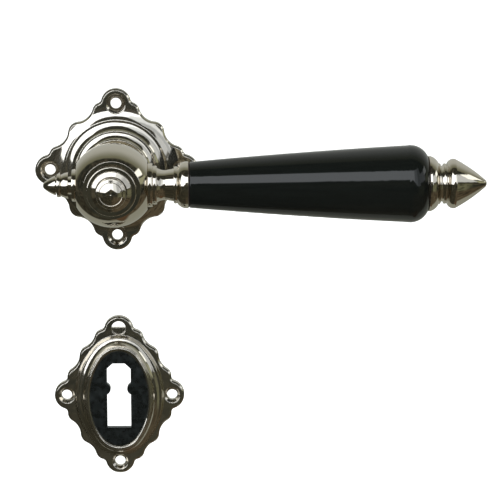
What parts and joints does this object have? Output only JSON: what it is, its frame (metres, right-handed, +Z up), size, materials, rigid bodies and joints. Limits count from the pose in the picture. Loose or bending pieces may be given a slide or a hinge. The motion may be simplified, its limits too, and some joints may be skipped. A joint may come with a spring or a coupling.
{
  "type": "lever door handle",
  "caption": "Turned lever handle with a tapered black grip on a scalloped stepped rose, with a matching oval keyhole escutcheon.",
  "frame": {"origin": "on the spindle's axis at the face of the door, which is the centre of the rose's back plane", "axes": "+X along the lever towards the grip's end, -Y out of the door towards the user, +Z up"},
  "size_m": [0.1362, 0.0988, 0.1227],
  "materials": {
    "nickel": "polished nickel plate on cast or turned brass",
    "black_wood": "black stained hardwood, polished to a high gloss",
    "fibre": "dark vulcanised fibre",
    "brass": "turned brass",
    "dark_steel": "blackened steel",
    "steel": "bright zinc plated steel"
  },
  "bodies": {
    "rose": {"rose_plate": "nickel", "rose_bush": "brass", "thrust_washer": "dark_steel", "dished_washer": "steel", "escutcheon_plate": "nickel"},
    "lever": {"lever_hub": "nickel", "retaining_ring": "steel", "front_collar": "nickel", "front_button": "nickel", "tail_collar": "nickel", "tail_finial": "nickel", "tail_stud": "steel", "neck_sleeve": "nickel", "neck_ferrule": "nickel", "grip": "black_wood", "grip_washer_inner": "fibre", "grip_washer_outer": "fibre", "end_ferrule": "nickel", "end_collar": "nickel", "end_finial": "nickel", "tie_rod": "steel", "spindle": "steel", "spindle_grub_screw": "dark_steel"}
  },
  "joints": [
    {"name": "lever_turn", "type": "hinge", "parent": "rose", "child": "lever", "pos_m": [0, 0, 0], "axis": [0, 1, 0], "range_deg": [0, 40], "stiffness_Nm_per_rad": 0.8, "springref_deg": -34.38}
  ]
}
